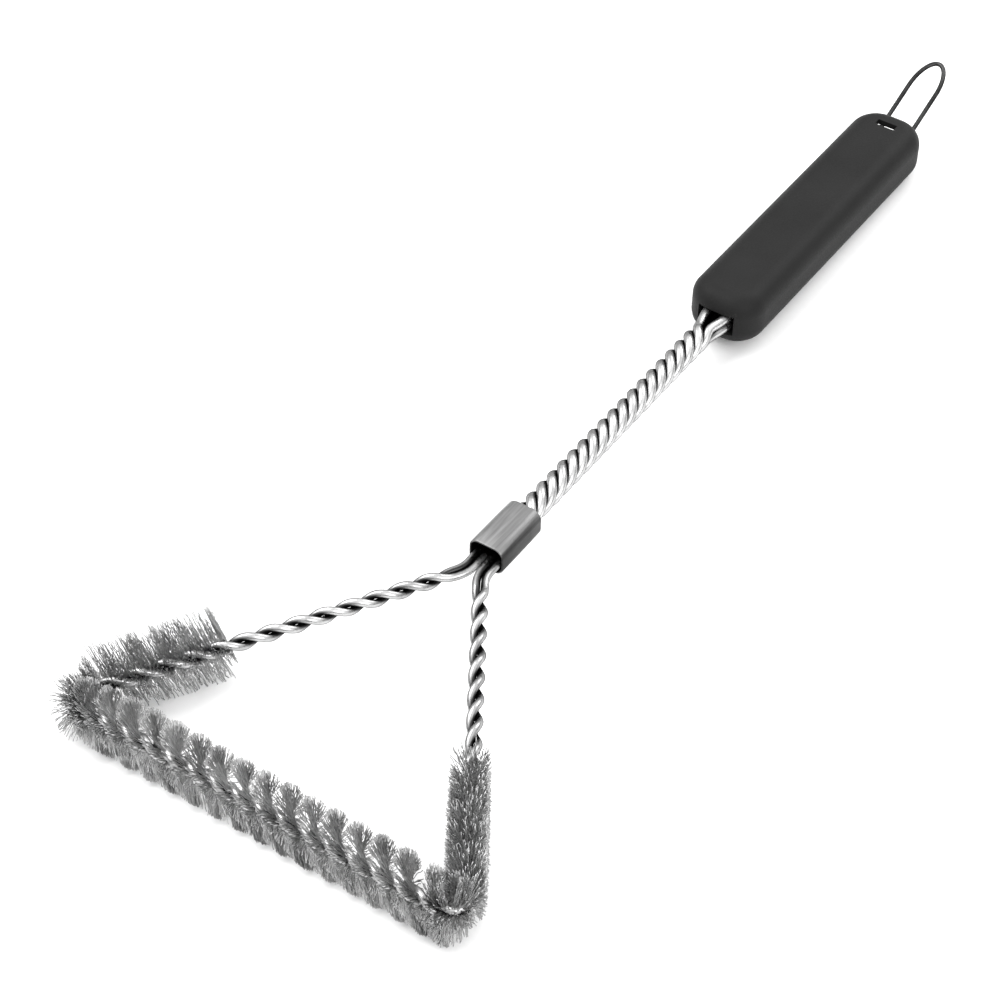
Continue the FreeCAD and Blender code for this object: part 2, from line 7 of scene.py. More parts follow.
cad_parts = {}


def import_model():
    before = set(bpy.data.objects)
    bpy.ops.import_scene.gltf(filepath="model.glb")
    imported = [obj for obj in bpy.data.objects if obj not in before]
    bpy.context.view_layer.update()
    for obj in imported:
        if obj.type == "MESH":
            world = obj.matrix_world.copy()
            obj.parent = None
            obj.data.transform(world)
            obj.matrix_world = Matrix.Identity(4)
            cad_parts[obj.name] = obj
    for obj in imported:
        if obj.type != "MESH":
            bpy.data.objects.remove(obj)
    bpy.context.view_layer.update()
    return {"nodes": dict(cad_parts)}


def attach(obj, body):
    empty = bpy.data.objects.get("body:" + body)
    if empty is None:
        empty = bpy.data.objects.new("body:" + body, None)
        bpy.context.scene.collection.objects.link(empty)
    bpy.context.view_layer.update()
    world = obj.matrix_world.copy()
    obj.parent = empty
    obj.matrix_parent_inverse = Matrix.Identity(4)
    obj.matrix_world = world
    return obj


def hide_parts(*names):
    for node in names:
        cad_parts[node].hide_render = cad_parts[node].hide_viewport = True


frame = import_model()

# A grill cleaning brush: a three-sided head of twisted wire with steel bristles, a flat ferrule,
# a stem of four twisted strands, a moulded handle and a wire hanging loop. It lies on a surface
# at Z = 0, +Y runs from the head to the loop, and X is across.

MM = 0.001
rng = np.random.default_rng(7)

# ---- Sizes, in metres, the same as the CAD model's --------------------------------------------
FRONT_Y = -0.2504              # front bristle tips, in the row frame
HEAD_WIDTH = 170.8 * MM        # between the corners where the head's centre lines meet
CORE_WIRE = 3.1 * MM           # diameter of each wire of the twisted core
CORE_RADIUS = 1.6 * MM         # core's axis to a wire's centre line
CORNER_BEND = 4.5 * MM         # radius of the core's bend at the two front corners
NECK_BEND = 12.0 * MM          # radius of the core's bend into the ferrule
NECK_STRAIGHT = 4.0 * MM       # untwisted length before the neck bend
NECK_INSIDE = 18.0 * MM        # length of an arm's wires after the neck bend
NECK_SETBACK = 8.0 * MM        # ferrule's mouth to where the arms' lines turn in
NECK_DROP = 1.5 * MM           # core's plane below the shaft's axis, at the ferrule's mouth
NECK_OFFSET = 3.25 * MM        # half the distance between the two arms inside the ferrule
FRONT_HALF_TURNS = 16          # half turns of twist along the front
ARM_QUARTER_TURNS = 27         # quarter turns of twist along each arm
HALF_WIDTH = 7.2 * MM          # brushed section, across the core in the head's plane
HALF_HEIGHT = 16.0 * MM        # brushed section, above and below the head's plane
SECTION_ROUNDING = 5.0 * MM    # rounding of the brushed section's long edges
CORNER_ROUNDING = 8.0 * MM     # rounding of the brushed outline at the two front corners
ARM_BRISTLE_END = 61.0 * MM    # corner to the upper end of the bristles, along an arm
MOUTH = 144.1 * MM             # front bristle tips to the ferrule's mouth
MOUTH_HEIGHT = 19.5 * MM       # height of the shaft's axis at the ferrule's mouth
FERRULE_WIDTH = 15.0 * MM
FERRULE_LENGTH = 25.9 * MM
FERRULE_HEIGHT = 12.4 * MM
FERRULE_WALL = 0.9 * MM        # sheet the ferrule is formed from
FERRULE_ROUNDING = 4.0 * MM    # rounding of the ferrule's long edges
STRANDS = 4
STRAND = 3.95 * MM             # diameter of each strand of the stem
STRAND_RADIUS = 3.25 * MM      # stem's axis to a strand's centre line
STRAND_PITCH = 28.4 * MM       # length of one full turn of a strand
STRAND_START = 16.5 * MM       # ferrule's mouth to the strands' first ends
STRAND_LENGTH = 138.5 * MM     # twisted length of the stem
SPLAY_LENGTH = 16.0 * MM       # length over which the strands part at the handle
SPLAY_REACH = 5.6 * MM         # stem's axis to a parted strand's end
HANDLE_START = 307.6 * MM      # front bristle tips to the handle
HANDLE_LENGTH = 155.5 * MM
HANDLE_END_HEIGHT = 11.3 * MM  # height of the shaft's axis at the handle's end

# ---- The head's plane and the shaft, as the CAD model tilts them ------------------------------
core_y = FRONT_Y + HALF_WIDTH
mouth_y = FRONT_Y + MOUTH
end_y = FRONT_Y + HANDLE_START + HANDLE_LENGTH
neck_height = MOUTH_HEIGHT - NECK_DROP
head_rise = math.atan2(neck_height - HALF_HEIGHT, mouth_y - core_y)
shaft_fall = math.atan2(MOUTH_HEIGHT - HANDLE_END_HEIGHT, end_y - mouth_y)
core_height = (SECTION_ROUNDING + (HALF_HEIGHT - SECTION_ROUNDING) * math.cos(head_rise)
               + (HALF_WIDTH - SECTION_ROUNDING) * math.sin(head_rise))
head_frame = Matrix.Translation((0, core_y, core_height)) @ Matrix.Rotation(head_rise, 4, "X")
shaft_frame = Matrix.Translation((0, mouth_y, MOUTH_HEIGHT)) @ Matrix.Rotation(-shaft_fall, 4, "X")


def moved(points, matrix):
    """Points, one per row, carried by a 4x4 matrix."""
    m = np.array(matrix)
    return np.asarray(points) @ m[:3, :3].T + m[:3, 3]


def smoothstep(low, high, value):
    """0 up to low, 1 from high on, and an S-shaped rise between."""
    t = np.clip((np.asarray(value, float) - low) / (high - low), 0, 1)
    return t * t * (3 - 2 * t)


# ---- Materials --------------------------------------------------------------------------------
# Painted shade: where the crest attribute is low, these stops darken the colour.
PAINTED_SHADE_STOPS = [(0.2, 0.08), (0.9, 1.0)]   # (crest, share of the colour that is left)
POLISH = 0.08                  # how much smoother a wire is between its drawing marks


def new_material(name, roughness, metallic=0.0):
    """A material with its nodes, links and Principled shader."""
    mat = bpy.data.materials.new(name)
    mat.use_nodes = True
    nodes, links = mat.node_tree.nodes, mat.node_tree.links
    shader = nodes["Principled BSDF"]
    shader.inputs["Roughness"].default_value = roughness
    shader.inputs["Metallic"].default_value = metallic
    return mat, nodes, links, shader


def noise(nodes, links, scale, detail, stretch=(1, 1, 1)):
    """A noise texture in the object's own coordinates, in cycles per metre."""
    coords = nodes.new("ShaderNodeTexCoord")
    mapping = nodes.new("ShaderNodeMapping")
    mapping.inputs["Scale"].default_value = stretch
    texture = nodes.new("ShaderNodeTexNoise")
    texture.inputs["Scale"].default_value = scale
    texture.inputs["Detail"].default_value = detail
    links.new(coords.outputs["Object"], mapping.inputs["Vector"])
    links.new(mapping.outputs["Vector"], texture.inputs["Vector"])
    return texture


def ramp(nodes, links, factor, stops):
    """A ramp of greys from (position, grey) stops, driven by factor."""
    node = nodes.new("ShaderNodeValToRGB")
    elements = node.color_ramp.elements
    for i, (position, grey) in enumerate(stops):
        element = elements[i] if i < 2 else elements.new(position)
        element.position = position
        element.color = (grey, grey, grey, 1)
    links.new(factor, node.inputs["Fac"])
    return node


def bump(nodes, links, shader, height, strength, distance):
    """Fine relief from a height texture."""
    node = nodes.new("ShaderNodeBump")
    node.inputs["Strength"].default_value = strength
    node.inputs["Distance"].default_value = distance
    links.new(height, node.inputs["Height"])
    links.new(node.outputs["Normal"], shader.inputs["Normal"])


def painted_shade_by_crest(nodes, links, colour):
    """A colour darkened by painted shade where the crest attribute is low."""
    crest = nodes.new("ShaderNodeAttribute")
    crest.attribute_name = "crest"
    shade = ramp(nodes, links, crest.outputs["Fac"], PAINTED_SHADE_STOPS)
    product = nodes.new("ShaderNodeMix")
    product.data_type = "RGBA"
    product.blend_type = "MULTIPLY"
    product.inputs["Factor"].default_value = 1.0
    links.new(colour, product.inputs["A"])
    links.new(shade.outputs["Color"], product.inputs["B"])
    return product.outputs["Result"]


def wire_steel(name, light, dark, roughness, grime, rim, twisted=False):
    """Drawn steel wire with fine drawing marks and patches from light to dark.

    grime is how much rougher the marks are, and rim is the reflectance at a grazing angle."""
    mat, nodes, links, shader = new_material(name, roughness, metallic=1.0)
    shader.inputs["Specular Tint"].default_value = (rim, rim, rim, 1)
    patches = noise(nodes, links, scale=120.0, detail=5.0)
    tint = ramp(nodes, links, patches.outputs["Fac"], [(0.35, dark), (0.62, light)])
    colour = tint.outputs["Color"]
    # Painted shade between the twisted wires, where the crest attribute is low.
    if twisted:
        colour = painted_shade_by_crest(nodes, links, colour)
    links.new(colour, shader.inputs["Base Color"])
    marks = noise(nodes, links, scale=900.0, detail=3.0)
    rough = ramp(nodes, links, marks.outputs["Fac"],
                 [(0.3, roughness - POLISH), (0.75, roughness + grime)])
    links.new(rough.outputs["Color"], shader.inputs["Roughness"])
    bump(nodes, links, shader, marks.outputs["Fac"], strength=0.15, distance=0.06 * MM)
    return mat


def handle_plastic():
    """Dark moulded plastic with a fine spark-eroded grain."""
    mat, nodes, links, shader = new_material("handle_plastic_look", roughness=0.55)
    broad = noise(nodes, links, scale=45.0, detail=3.0)
    tint = ramp(nodes, links, broad.outputs["Fac"], [(0.3, 0.010), (0.7, 0.013)])
    links.new(tint.outputs["Color"], shader.inputs["Base Color"])
    shader.inputs["Specular IOR Level"].default_value = 0.12
    grain = noise(nodes, links, scale=1600.0, detail=2.0)
    rough = ramp(nodes, links, grain.outputs["Fac"], [(0.3, 0.5), (0.7, 0.62)])
    links.new(rough.outputs["Color"], shader.inputs["Roughness"])
    bump(nodes, links, shader, grain.outputs["Fac"], strength=0.35, distance=0.12 * MM)
    return mat


def ferrule_metal():
    """Sheet metal brushed along the shaft."""
    mat, nodes, links, shader = new_material("ferrule_metal_look", roughness=0.42, metallic=1.0)
    streaks = noise(nodes, links, scale=700.0, detail=4.0, stretch=(1, 0.05, 1))
    tint = ramp(nodes, links, streaks.outputs["Fac"], [(0.3, 0.16), (0.7, 0.28)])
    # Painted shade where the crest attribute is low: the narrow sides and the inside.
    colour = painted_shade_by_crest(nodes, links, tint.outputs["Color"])
    links.new(colour, shader.inputs["Base Color"])
    rough = ramp(nodes, links, streaks.outputs["Fac"], [(0.3, 0.36), (0.7, 0.5)])
    links.new(rough.outputs["Color"], shader.inputs["Roughness"])
    bump(nodes, links, shader, streaks.outputs["Fac"], strength=0.2, distance=0.08 * MM)
    return mat


CORE_LOOK = wire_steel("core_steel_look", light=0.55, dark=0.38, roughness=0.3, grime=0.12,
                       rim=0.02, twisted=True)
STEM_LOOK = wire_steel("stem_steel_look", light=0.62, dark=0.46, roughness=0.3, grime=0.1,
                       rim=0.02, twisted=True)
BRISTLE_LOOK = wire_steel("bristle_steel_look", light=0.55, dark=0.3, roughness=0.4, grime=0.1,
                          rim=0.2)
LOOP_LOOK = wire_steel("loop_steel_look", light=0.06, dark=0.035, roughness=0.3, grime=0.1,
                       rim=0.03)
HANDLE_LOOK = handle_plastic()
FERRULE_LOOK = ferrule_metal()

# ---- Mesh building ----------------------------------------------------------------------------
STEEP = 0.8                    # a tube whose start rises more than this is squared from X, not Z


def new_piece(name, vertices, faces, material, body, sharp=40.0, crest=None):
    """A mesh object in the row frame, shaded smooth, riding on a body.

    crest is one value per vertex, 1 where the metal keeps its full colour and 0 where it is
    darkest with painted shade, as deep between twisted wires. sharp is the angle, in degrees, that
    stays an edge."""
    mesh = bpy.data.meshes.new(name)
    mesh.from_pydata([tuple(v) for v in vertices], [], [tuple(f) for f in faces])
    mesh.update()
    if crest is not None:
        values = mesh.attributes.new("crest", "FLOAT", "POINT")
        values.data.foreach_set("value", np.asarray(crest, np.float32))
    mesh.shade_smooth()
    mesh.set_sharp_from_angle(angle=math.radians(sharp))
    mesh.materials.append(material)
    piece = bpy.data.objects.new(name, mesh)
    bpy.context.scene.collection.objects.link(piece)
    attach(piece, body)
    return piece


def tube_mesh(paths, radius, sides):
    """Closed round tubes along paths, an array of tubes by points by 3: (vertices, faces)."""
    paths = np.asarray(paths, float)
    count, steps = paths.shape[:2]
    tangent = np.gradient(paths, axis=1)
    tangent /= np.linalg.norm(tangent, axis=2, keepdims=True)
    # One sideways vector per tube, carried along it and kept square to the tangent.
    start = tangent[:, 0]
    guess = np.where(np.abs(start[:, 2:3]) < STEEP, [[0.0, 0.0, 1.0]], [[1.0, 0.0, 0.0]])
    side = np.cross(start, guess)
    side /= np.linalg.norm(side, axis=1, keepdims=True)
    sides_along = np.empty_like(paths)
    for i in range(steps):
        side = side - tangent[:, i] * np.sum(side * tangent[:, i], axis=1, keepdims=True)
        side /= np.linalg.norm(side, axis=1, keepdims=True)
        sides_along[:, i] = side
    across = np.cross(tangent, sides_along)
    angle = np.arange(sides) * 2 * math.pi / sides
    ring = (sides_along[:, :, None] * np.cos(angle)[None, None, :, None]
            + across[:, :, None] * np.sin(angle)[None, None, :, None])
    vertices = (paths[:, :, None] + ring * radius).reshape(-1, 3)
    base = np.arange(count)[:, None, None] * steps * sides
    row = np.arange(steps - 1)[None, :, None] * sides
    col = np.arange(sides)[None, None, :]
    after = (col + 1) % sides
    a, b = base + row + col, base + row + after
    faces = np.stack([a, b, b + sides, a + sides], axis=-1).reshape(-1, 4).tolist()
    for i in range(count):
        first = i * steps * sides
        faces.append([first + j for j in reversed(range(sides))])
        faces.append([first + (steps - 1) * sides + j for j in range(sides)])
    return vertices, faces


def crest_values(vertices, axis_points, sides, inner, outer):
    """How far each ring's vertices stand from the twist's axis, from 0 at inner to 1 at outer."""
    away = vertices.reshape(-1, sides, 3) - axis_points[:, None]
    return smoothstep(inner, outer, np.linalg.norm(away, axis=2)).ravel()


# ---- The core's path round the head, in the head's own plane ----------------------------------
PATH_STEP = 0.25 * MM

half_width = HEAD_WIDTH / 2
neck_y = (mouth_y - core_y) - NECK_SETBACK
arm_across = half_width - NECK_OFFSET
arm_length = math.hypot(arm_across, neck_y)
arm_angle = math.atan2(neck_y, arm_across)
corner_tangent = CORNER_BEND / math.tan(arm_angle / 2)
neck_turn = math.pi / 2 - arm_angle
neck_tangent = NECK_BEND * math.tan(neck_turn / 2)
front_run = 2 * (half_width - corner_tangent)
arm_run = arm_length - corner_tangent - neck_tangent - NECK_STRAIGHT
corner_arc = CORNER_BEND * (math.pi - arm_angle)
neck_arc = NECK_BEND * neck_turn


def head_path():
    """Points, their arc lengths and the ends of the runs, from the left neck to the right."""
    runs = [  # (length, turn to the left over it)
        (NECK_INSIDE, 0.0), (neck_arc, -neck_turn), (NECK_STRAIGHT, 0.0), (arm_run, 0.0),
        (corner_arc, math.pi - arm_angle), (front_run, 0.0), (corner_arc, math.pi - arm_angle),
        (arm_run, 0.0), (NECK_STRAIGHT, 0.0), (neck_arc, -neck_turn), (NECK_INSIDE, 0.0),
    ]
    heading = -math.pi / 2
    courses, ends, travelled = [], [0.0], 0.0
    for length, bend in runs:
        count = max(2, round(length / PATH_STEP))
        headings = heading + bend * (np.arange(count) + 0.5) / count
        courses.append(np.stack([headings, np.full(count, length / count)]))
        heading += bend
        travelled += length
        ends.append(travelled)
    course = np.concatenate(courses, axis=1)
    moves = np.stack([np.cos(course[0]), np.sin(course[0])]) * course[1]
    points = np.concatenate([[[0.0, 0.0]], np.cumsum(moves, axis=1).T])
    lengths = np.concatenate([[0.0], np.cumsum(course[1])])
    # Shift so that the path is symmetrical and its front lies on Y = 0.
    points[:, 0] -= (points[0, 0] + points[-1, 0]) / 2
    points[:, 1] -= points[:, 1].min()
    return points, lengths, ends


core_points, core_lengths, run_ends = head_path()
total_length = core_lengths[-1]
# The arc lengths where each run starts, on the way from the left neck to the right one.
left_arm, left_corner, front, right_corner, right_arm, right_neck = run_ends[3:9]


def core_at(s):
    """The core's axis at arc lengths s: its X and Y, and its unit tangent's X and Y."""
    x = np.interp(s, core_lengths, core_points[:, 0])
    y = np.interp(s, core_lengths, core_points[:, 1])
    ahead = np.minimum(s + PATH_STEP, total_length)
    behind = np.maximum(s - PATH_STEP, 0)
    tx = np.interp(ahead, core_lengths, core_points[:, 0]) - np.interp(
        behind, core_lengths, core_points[:, 0])
    ty = np.interp(ahead, core_lengths, core_points[:, 1]) - np.interp(
        behind, core_lengths, core_points[:, 1])
    norm = np.hypot(tx, ty)
    return x, y, tx / norm, ty / norm


# Twist from upright, counted right-handed along the path: (arc length, half turns).
arm_half_turns = ARM_QUARTER_TURNS / 2
TWIST = np.array([
    (0.0, -arm_half_turns), (left_arm, -arm_half_turns), (left_corner, 0.0), (front, 0.0),
    (right_corner, FRONT_HALF_TURNS), (right_arm, FRONT_HALF_TURNS),
    (right_neck, FRONT_HALF_TURNS + arm_half_turns),
    (total_length, FRONT_HALF_TURNS + arm_half_turns),
])
TWIST_EASE = 3.0 * MM          # each change of the twist's rate is spread this far both ways
TWIST_SAMPLES = 13


def twist_at(s, through_corners=0):
    """The twist angle; through_corners adds half turns over each corner, for the bristles."""
    extra = through_corners * (np.interp(s, [left_corner, front], [0, 1])
                               + np.interp(s, [right_corner, right_arm], [0, 1]))
    return math.pi * (np.interp(s, TWIST[:, 0], TWIST[:, 1]) + extra)


def smooth_twist(s):
    """twist_at with each change of rate spread over a few millimetres."""
    spread = np.linspace(-TWIST_EASE, TWIST_EASE, TWIST_SAMPLES)
    return np.mean([twist_at(np.clip(s + d, 0, total_length)) for d in spread], axis=0)


# ---- The core's two wires ---------------------------------------------------------------------
WIRE_STEP = 0.8 * MM           # along the core's wires and the stem's strands
WIRE_SIDES = 18
CORE_CREVICE = 0.8             # of CORE_RADIUS: darkest this near to the core's axis
# Painted shade on the core's wires inside the ferrule, fading out past its mouth.
FERRULE_SHADE_REACH = 4.0 * MM          # the darkness inside the ferrule fades out over this length


def core_wire_points(s, side):
    """One core wire's centre line, in the row frame."""
    x, y, tx, ty = core_at(s)
    angle = smooth_twist(s) + math.pi * side
    up = np.cos(angle) * CORE_RADIUS
    out = np.sin(angle) * CORE_RADIUS
    # out is along (ty, -tx), to the right of the way along the path.
    return moved(np.stack([x + ty * out, y - tx * out, up], axis=1), head_frame)


def core_wire(side, letter):
    """One wire of the core as one run, in place of the CAD model's five lengths of it."""
    s = np.arange(0, total_length, WIRE_STEP)
    vertices, faces = tube_mesh([core_wire_points(s, side)], CORE_WIRE / 2, WIRE_SIDES)
    x, y, tx, ty = core_at(s)
    axis = moved(np.stack([x, y, np.zeros(len(s))], axis=1), head_frame)
    # Painted shade: the crest is lowest near the core's axis, between the two wires.
    crest = crest_values(vertices, axis, WIRE_SIDES, CORE_RADIUS * CORE_CREVICE,
                         CORE_RADIUS + CORE_WIRE / 2)
    # Painted shade where the wires run inside the ferrule.
    mouth = NECK_INSIDE - NECK_SETBACK
    unshaded = smoothstep(mouth, mouth + FERRULE_SHADE_REACH, np.minimum(s, total_length - s))
    crest = crest * np.repeat(unshaded, WIRE_SIDES)
    wire = new_piece("core_wire_" + letter, vertices, faces, CORE_LOOK, "brush",
                     crest=crest)
    number = str(side + 1)
    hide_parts("left_arm_wire_" + number, "left_corner_wire_" + number,
                "front_wire_" + number, "right_corner_wire_" + number,
                "right_arm_wire_" + number)


core_wire(0, "a")
core_wire(1, "b")

# ---- Bristles ---------------------------------------------------------------------------------
# Along the front, the tips of each half turn of the core gather in one leaning fan. On the arms
# the fans run into each other.
BRISTLE_RADIUS = 0.17 * MM
BRISTLE_STEPS = 9              # points along a bristle
BRISTLE_SIDES = 3
BRISTLE_FOOT = 0.06            # a bristle starts this share of its length from the core's axis
FRONT_DENSITY = 26    # bristles per millimetre of core
ARM_TO_FRONT = {"left": 1.25, "right": 1.1}    # an arm's density as a share of the front's
CORNER_TO_FRONT = 1.5
FAN_POWER = 2.3                # the front's brushed section: 2 would make it an ellipse
ARM_POWER = 5.0                # the same on the arms: nearly a rectangle
FRONT_INWARD = 10.8 * MM       # reach of the front's level bristles, towards the stem
FRONT_OUTWARD = 6.8 * MM       # and away from it
CORNER_OUTWARD = 8.0 * MM
FAN_TILT = 0.3                 # upward bristles tilt inwards, downward ones outwards, in radians
FAN_PHASE = 2.07               # the core's twist, in radians, where a fan stands upright
FAN_BUNCH = 2.6                # 0 spreads a fan's tips evenly along its half turn
UPRIGHT_BUNCH = 1.2            # 0 spreads the upper bristles evenly round the core
DOWNWARD_BUNCH = 2.4           # 0 spreads the lower ones so
FAN_BLEND = 8.0 * MM           # the fans, and the corners' wear, fade over this length
FAN_LEAN = 0.45                # upward bristles lean back along the core, downward ones on,
ARM_LEAN = 0.3                 # and the other way on the arms, per unit of rise
LEFT_COMBED = 0.6              # how far the arms' bristles are swept towards -X
RIGHT_COMBED = 0.1
CORNER_WEAR = 0.5              # share of its length that the most worn bristle has lost
FAN_SCATTER = 0.3 * MM         # scatter along the core on the front
ARM_SCATTER = 3.0 * MM         # and on the arms
TURN_SCATTER = 0.08            # scatter round the core, in radians
LEAN_SCATTER = 0.02            # scatter of the lean
TIP_SCATTER = 0.04             # how much shorter the bristles end, as a share of their length
CRIMP = 0.33 * MM              # height of a bristle's short waves
CRIMP_PITCH = 4.2 * MM         # length of one such wave
CRIMP_EASE = 3                 # the waves are full from 1 / CRIMP_EASE of the length on
BOW = 0.3 * MM                 # scatter of how far a whole bristle is bent at its tip
REACH_STEPS = 90               # an outline is looked for this many PATH_STEPs away

corner_reach = HALF_WIDTH / math.tan(arm_angle / 2)
rounding_x = half_width - (CORNER_ROUNDING - HALF_WIDTH) / math.tan(arm_angle / 2)
rounding_y = CORNER_ROUNDING - HALF_WIDTH


def inside_outline(x, y):
    """Whether points of the head's plane lie inside the brushed outline's outer edge."""
    x = np.abs(x)
    nx, ny = math.sin(arm_angle), math.cos(arm_angle)
    within_edges = (y > -HALF_WIDTH) & (nx * (x - half_width) + ny * y < HALF_WIDTH)
    vx, vy = x - rounding_x, y - rounding_y
    in_corner = (vx > 0) & (vx * ny - vy * nx > 0)
    return within_edges & (~in_corner | (np.hypot(vx, vy) < CORNER_ROUNDING))


def outline_reach(x, y, dx, dy):
    """How far a level bristle may go from (x, y) along (dx, dy) before the outline."""
    t = np.arange(1, REACH_STEPS) * PATH_STEP
    inside = inside_outline(x[:, None] + dx[:, None] * t, y[:, None] + dy[:, None] * t)
    inside[:, -1] = False
    return t[np.argmin(inside, axis=1)]


def share_of_front(s):
    """1 along the front, easing to 0 at its two ends."""
    return np.interp(s, [front, front + FAN_BLEND, right_corner - FAN_BLEND, right_corner],
                     [0, 1, 1, 0])


def share_of_arm(s):
    """1 along the arms, easing to 0 over the corners."""
    return np.interp(s, [left_corner, front, right_corner, right_arm], [1, 0, 0, 1])


def wear(s, up):
    """Use has worn the upper bristles short at the left corner, the lower ones at the right."""
    left = np.interp(s, [left_corner - FAN_BLEND, left_corner, front], [0, 1, 0])
    right = np.interp(s, [right_corner, right_arm, right_arm + FAN_BLEND], [0, 1, 0])
    return CORNER_WEAR * np.where(up > 0, left, right)


def crimped(paths, direction, along, share):
    """Paths with a short wave across each bristle, and a slight bow of the whole of it."""
    count = len(paths)
    wave = np.cross(direction, rng.normal(0, 1, (count, 3)))
    wave /= np.linalg.norm(wave, axis=1, keepdims=True)
    phase = rng.uniform(0, 2 * math.pi, count)[:, None]
    swing = CRIMP * np.sin(along / CRIMP_PITCH * 2 * math.pi + phase)
    bow = rng.normal(0, BOW, count)[:, None] * share ** 2
    return paths + wave[:, None] * (swing * np.minimum(1, CRIMP_EASE * share) + bow)[:, :, None]


def bristle_paths(s_low, s_high, per_mm):
    """Crimped bristles between two arc lengths, in the row frame."""
    count = int((s_high - s_low) / MM * per_mm)
    s = np.sort(rng.uniform(s_low, s_high, count))
    on_front, on_arm = share_of_front(s), share_of_arm(s)
    # Where each bristle is in its half turn of the core, from -1 to 1.
    twist = twist_at(s, through_corners=1) - FAN_PHASE
    place = (twist / math.pi - np.round(twist / math.pi)) * 2
    half_turn = (s[-1] - s[0]) * math.pi / (twist[-1] - twist[0])
    gather = (place * np.abs(place) ** FAN_BUNCH - place) * half_turn / 2 * on_front
    up = rng.choice([-1, 1], count)
    s = s + rng.normal(0, 1, count) * (ARM_SCATTER + (FAN_SCATTER - ARM_SCATTER) * on_front)
    s = np.clip(s, s_low, s_high)
    x, y, tx, ty = core_at(s)
    # Each bristle's direction square to the core, turned from upright by angle.
    bunch = np.where(up > 0, UPRIGHT_BUNCH, DOWNWARD_BUNCH) * on_front
    angle = math.pi / 2 * place * np.abs(place) ** bunch
    angle = (angle - FAN_TILT * (1 - np.abs(place)) * on_front
             + rng.normal(0, TURN_SCATTER, count))
    rise, out = up * np.cos(angle), up * np.sin(angle)
    dx, dy = ty * out, -tx * out
    # Its length, up to the brushed section.
    level = np.maximum(np.abs(out), 1e-6)
    lateral = outline_reach(x, y, dx / level, dy / level)
    limit = np.where(out < 0, HALF_WIDTH + (FRONT_INWARD - HALF_WIDTH) * on_front,
                     CORNER_OUTWARD + (FRONT_OUTWARD - CORNER_OUTWARD) * on_front)
    lateral = np.minimum(lateral, limit)
    lateral *= 1 - np.where(x < 0, LEFT_COMBED, RIGHT_COMBED) * on_arm * dx / level
    power = FAN_POWER + (ARM_POWER - FAN_POWER) * on_arm
    reach = ((level / lateral) ** power + (np.abs(rise) / HALF_HEIGHT) ** power) ** (-1 / power)
    reach *= 1 - np.abs(rng.normal(0, TIP_SCATTER, count))
    reach *= 1 - wear(s, up)
    # Its lean along the core.
    lean = gather / reach + rng.normal(0, LEAN_SCATTER, count)
    lean = lean + (ARM_LEAN * on_arm - FAN_LEAN * on_front) * rise
    direction = np.stack([dx + tx * lean, dy + ty * lean, rise], axis=1)
    share = np.linspace(BRISTLE_FOOT, 1, BRISTLE_STEPS)[None, :]
    along = reach[:, None] * share
    feet = np.stack([x, y, np.zeros(count)], axis=1)[:, None]
    paths = feet + direction[:, None] * along[:, :, None]
    return moved(crimped(paths, direction, along, share), head_frame)


arm_start = left_corner - (ARM_BRISTLE_END - corner_tangent)
arm_stop = right_arm + (ARM_BRISTLE_END - corner_tangent)
# A corner's bristles end where the front's inner edge meets the arm's.
reach_past = corner_reach - corner_tangent
LENGTHS = [  # (piece, from, to, CAD node, density as a share of the front's)
    ("left_arm_brush", arm_start, left_corner - reach_past, "left_arm_bristles",
     ARM_TO_FRONT["left"]),
    ("left_corner_brush", left_corner - reach_past, front + reach_past,
     "left_corner_bristles", CORNER_TO_FRONT),
    ("front_brush", front + reach_past, right_corner - reach_past, "front_bristles", 1),
    ("right_corner_brush", right_corner - reach_past, right_arm + reach_past,
     "right_corner_bristles", CORNER_TO_FRONT),
    ("right_arm_brush", right_arm + reach_past, arm_stop, "right_arm_bristles",
     ARM_TO_FRONT["right"]),
]
for name, low, high, node, share_of_density in LENGTHS:
    paths = bristle_paths(low, high, FRONT_DENSITY * share_of_density)
    paths[:, :, 2] = np.maximum(paths[:, :, 2], BRISTLE_RADIUS)
    vertices, faces = tube_mesh(paths, BRISTLE_RADIUS, BRISTLE_SIDES)
    tufts = new_piece(name, vertices, faces, BRISTLE_LOOK, "brush", sharp=180)
    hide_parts(node)

# ---- Stem -------------------------------------------------------------------------------------
# Painted shade between the stem's strands, darkest near its axis.
STRAND_CREVICE = 0.9           # of STRAND_RADIUS: darkest this near to the stem's axis
# Near the end of the twist, the strands' rate of turn falls to nothing and they straighten out.
UNTWIST = (STRAND_LENGTH - 6 * MM, STRAND_LENGTH + 4 * MM)
STRAIGHTEN = (STRAND_LENGTH - 5 * MM, STRAND_LENGTH + 6 * MM)


def strand_points(strand):
    """A strand's centre line: twisted, then parting to the left or right near the handle."""
    s = np.arange(0, STRAND_LENGTH + SPLAY_LENGTH, WIRE_STEP)
    end_angle = math.radians(45 + 90 * strand)
    rates = 2 * math.pi / STRAND_PITCH * (1 - smoothstep(*UNTWIST, s))
    angle = np.concatenate([[0], np.cumsum((rates[1:] + rates[:-1]) / 2 * np.diff(s))])
    angle += end_angle - angle[-1]
    x = STRAND_RADIUS * np.cos(angle)
    z = STRAND_RADIUS * np.sin(angle)
    part = np.clip((s - STRAND_LENGTH) / SPLAY_LENGTH, 0, 1)
    start_x = STRAND_RADIUS * math.cos(end_angle)
    goal_x = math.copysign(SPLAY_REACH, math.cos(end_angle))
    goal_z = STRAND_RADIUS * math.sin(end_angle)
    line_x = start_x + (goal_x - start_x) * part
    blend = smoothstep(*STRAIGHTEN, s)
    x = x + (line_x - x) * blend
    z = z + (goal_z - z) * blend
    return moved(np.stack([x, STRAND_START + s, z], axis=1), shaft_frame)


